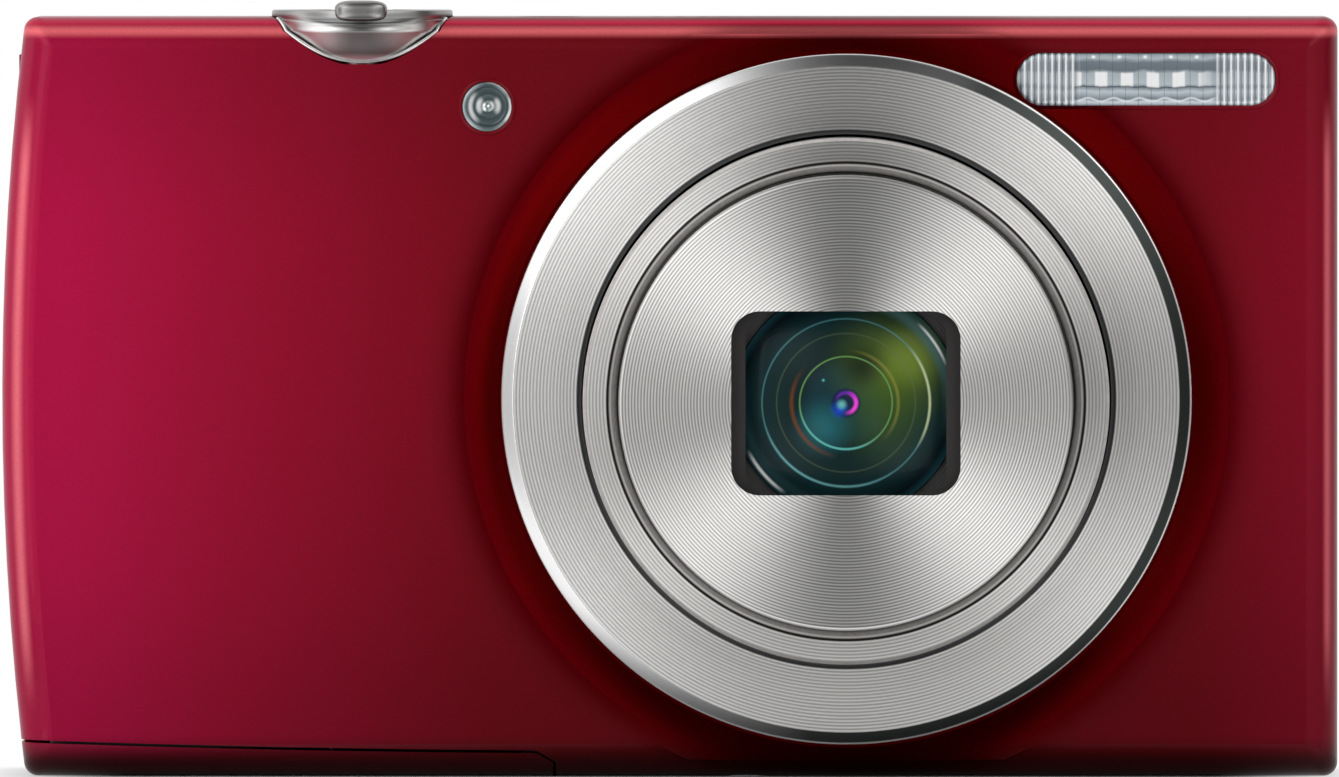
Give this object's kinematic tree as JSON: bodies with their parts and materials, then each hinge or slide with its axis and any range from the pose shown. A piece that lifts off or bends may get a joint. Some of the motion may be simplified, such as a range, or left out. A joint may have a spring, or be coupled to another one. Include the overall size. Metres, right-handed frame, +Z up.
{
  "type": "compact digital camera",
  "caption": "Slim pocket camera with an extending zoom lens, sliding lens barrier, zoom lever, flash, battery door, rear screen and keys.",
  "frame": {"origin": "middle of the flat base, under the body", "axes": "+X to the right of someone facing the lens, -Y the way the lens looks, +Z up"},
  "size_m": [0.0952, 0.0394, 0.0553],
  "materials": {
    "red_shell": "glossy metallic",
    "brushed_silver": "spun",
    "bright_metal": "polished",
    "dark_inner": "matte",
    "clear_glass": "clear",
    "coated_glass": "coated",
    "black_gloss": "glossy",
    "grey_metal": "stamped",
    "steel": "plain",
    "brass": "plain",
    "board": "matte",
    "grey_plastic": "matte",
    "white_plastic": "matte",
    "rubber": "matte",
    "display": "matte",
    "cell": "satin",
    "foil": "polished"
  },
  "bodies": {
    "camera_body": {"front_cover": "red_shell", "rear_cover": "red_shell", "chassis": "grey_metal", "lens_ring": "brushed_silver", "lens_base": "dark_inner", "rear_lens_group": "coated_glass", "image_sensor": "coated_glass", "sensor_board": "board", "zoom_motor": "steel", "flash_window": "clear_glass", "flash_reflector": "foil", "flash_tube": "clear_glass", "flash_capacitor": "grey_plastic", "af_lamp_window": "clear_glass", "main_board": "board", "processor_shield": "grey_metal", "key_board": "board", "top_switch_board": "board", "lcd_window": "black_gloss", "lcd_panel": "display", "indicator_lamp": "clear_glass", "battery_pack": "cell", "battery_contacts": "brass", "memory_card": "grey_plastic", "card_slot": "grey_metal", "tripod_bush": "steel", "speaker": "grey_plastic", "microphone": "grey_metal", "usb_connector": "steel", "strap_bar": "steel", "case_screws": "steel", "door_hinge_pin": "steel"},
    "door_carrier": {"door_spring": "steel"},
    "battery_door": {"battery_door": "red_shell"},
    "battery_catch": {"battery_catch": "grey_plastic"},
    "terminal_cover": {"terminal_cover": "red_shell"},
    "zoom_lever": {"zoom_lever": "bright_metal"},
    "shutter_button": {"shutter_button": "bright_metal", "shutter_spring": "steel"},
    "power_button": {"power_button": "bright_metal"},
    "movie_button": {"movie_button": "grey_plastic"},
    "playback_button": {"playback_button": "grey_plastic"},
    "menu_button": {"menu_button": "grey_plastic"},
    "auto_button": {"auto_button": "grey_plastic"},
    "set_button": {"set_button": "bright_metal"},
    "pad_actuator": {"pad_actuator": "rubber"},
    "control_pad": {"control_pad": "grey_plastic"},
    "cam_barrel": {"cam_barrel": "grey_plastic"},
    "outer_barrel": {"outer_barrel": "brushed_silver"},
    "front_barrel": {"front_barrel": "brushed_silver", "front_plate": "brushed_silver", "lens_retainer": "dark_inner", "front_lens": "coated_glass", "iris_unit": "dark_inner"},
    "blade_upper_inner": {"barrier_blade_upper_inner": "dark_inner"},
    "blade_upper_outer": {"barrier_blade_upper_outer": "dark_inner"},
    "blade_lower_inner": {"barrier_blade_lower_inner": "dark_inner"},
    "blade_lower_outer": {"barrier_blade_lower_outer": "dark_inner"},
    "reduction_gear": {"reduction_gear": "white_plastic"},
    "motor_pinion": {"motor_pinion": "brass"}
  },
  "joints": [
    {"name": "zoom_turn", "type": "hinge", "parent": "camera_body", "child": "zoom_lever", "pos_m": [-0.02194, -0.0046, 0.0541], "axis": [0, 0, 1], "range_deg": [-20, 20], "stiffness_Nm_per_rad": 0.02},
    {"name": "shutter_press", "type": "slide", "parent": "camera_body", "child": "shutter_button", "axis": [0, 0, -1], "range_m": [0, 0.0007], "stiffness_N_per_m": 600, "deforming": ["shutter_spring"]},
    {"name": "power_press", "type": "slide", "parent": "camera_body", "child": "power_button", "axis": [0, 0, -1], "range_m": [0, 0.0003], "stiffness_N_per_m": 600},
    {"name": "outer_barrel_extend", "type": "slide", "parent": "camera_body", "child": "outer_barrel", "axis": [0, -1, 0], "range_m": [-0.0085, 0]},
    {"name": "front_barrel_extend", "type": "slide", "parent": "outer_barrel", "child": "front_barrel", "axis": [0, -1, 0], "range_m": [-0.0085, 0]},
    {"name": "cam_turn", "type": "hinge", "parent": "camera_body", "child": "cam_barrel", "pos_m": [0.0126, 0, 0.02695], "axis": [0, -1, 0], "range_deg": [-60.01, 0]},
    {"name": "reduction_spin", "type": "hinge", "parent": "camera_body", "child": "reduction_gear", "pos_m": [0.03843, 0.0025, 0.03899], "axis": [0, -1, 0], "range_deg": [0, 224.05]},
    {"name": "pinion_spin", "type": "hinge", "parent": "camera_body", "child": "motor_pinion", "pos_m": [0.04248, 0.0025, 0.03198], "axis": [0, -1, 0], "range_deg": [-672.2, 0]},
    {"name": "blade_upper_inner_close", "type": "slide", "parent": "front_barrel", "child": "blade_upper_inner", "axis": [0, 0, -1], "range_m": [0, 0.00685]},
    {"name": "blade_upper_outer_close", "type": "slide", "parent": "front_barrel", "child": "blade_upper_outer", "axis": [0, 0, -1], "range_m": [0, 0.0034]},
    {"name": "blade_lower_inner_close", "type": "slide", "parent": "front_barrel", "child": "blade_lower_inner", "axis": [0, 0, 1], "range_m": [0, 0.00685]},
    {"name": "blade_lower_outer_close", "type": "slide", "parent": "front_barrel", "child": "blade_lower_outer", "axis": [0, 0, 1], "range_m": [0, 0.0034]},
    {"name": "door_slide", "type": "slide", "parent": "camera_body", "child": "door_carrier", "axis": [-1, 0, 0], "range_m": [0, 0.0018]},
    {"name": "door_open", "type": "hinge", "parent": "door_carrier", "child": "battery_door", "pos_m": [0, 0.0039, 0.0009], "axis": [1, 0, 0], "range_deg": [0, 95]},
    {"name": "catch_turn", "type": "hinge", "parent": "camera_body", "child": "battery_catch", "pos_m": [-0.0083, -0.0042, 0.0016], "axis": [0, 0, 1], "range_deg": [0, 60], "stiffness_Nm_per_rad": 0.01},
    {"name": "terminal_cover_open", "type": "hinge", "parent": "camera_body", "child": "terminal_cover", "pos_m": [-0.04745, 0.0039, 0.015], "axis": [0, -1, 0], "range_deg": [0, 95]},
    {"name": "set_press", "type": "slide", "parent": "camera_body", "child": "set_button", "axis": [0, -1, 0], "range_m": [0, 0.0003], "stiffness_N_per_m": 500},
    {"name": "movie_press", "type": "slide", "parent": "camera_body", "child": "movie_button", "axis": [0, -1, 0], "range_m": [0, 0.0003], "stiffness_N_per_m": 500},
    {"name": "playback_press", "type": "slide", "parent": "camera_body", "child": "playback_button", "axis": [0, -1, 0], "range_m": [0, 0.0003], "stiffness_N_per_m": 500},
    {"name": "menu_press", "type": "slide", "parent": "camera_body", "child": "menu_button", "axis": [0, -1, 0], "range_m": [0, 0.0003], "stiffness_N_per_m": 500},
    {"name": "auto_press", "type": "slide", "parent": "camera_body", "child": "auto_button", "axis": [0, -1, 0], "range_m": [0, 0.0003], "stiffness_N_per_m": 500},
    {"name": "pad_tilt_vertical", "type": "hinge", "parent": "camera_body", "child": "pad_actuator", "pos_m": [-0.0315, 0.0073, 0.02], "axis": [1, 0, 0], "range_deg": [-2.5, 2.5], "stiffness_Nm_per_rad": 0.3},
    {"name": "pad_tilt_sideways", "type": "hinge", "parent": "pad_actuator", "child": "control_pad", "pos_m": [-0.0315, 0.0073, 0.02], "axis": [0, 0, 1], "range_deg": [-2.5, 2.5], "stiffness_Nm_per_rad": 0.3}
  ],
  "couplings": [
    {"joint": "front_barrel_extend", "follows": "outer_barrel_extend", "ratio": 1},
    {"joint": "cam_turn", "follows": "outer_barrel_extend", "rad_per_m": 123.2},
    {"joint": "reduction_spin", "follows": "outer_barrel_extend", "rad_per_m": -459.95},
    {"joint": "pinion_spin", "follows": "outer_barrel_extend", "rad_per_m": 1379.8},
    {"joint": "blade_upper_outer_close", "follows": "blade_upper_inner_close", "ratio": 0.49635},
    {"joint": "blade_lower_inner_close", "follows": "blade_upper_inner_close", "ratio": 1},
    {"joint": "blade_lower_outer_close", "follows": "blade_upper_inner_close", "ratio": 0.49635}
  ]
}
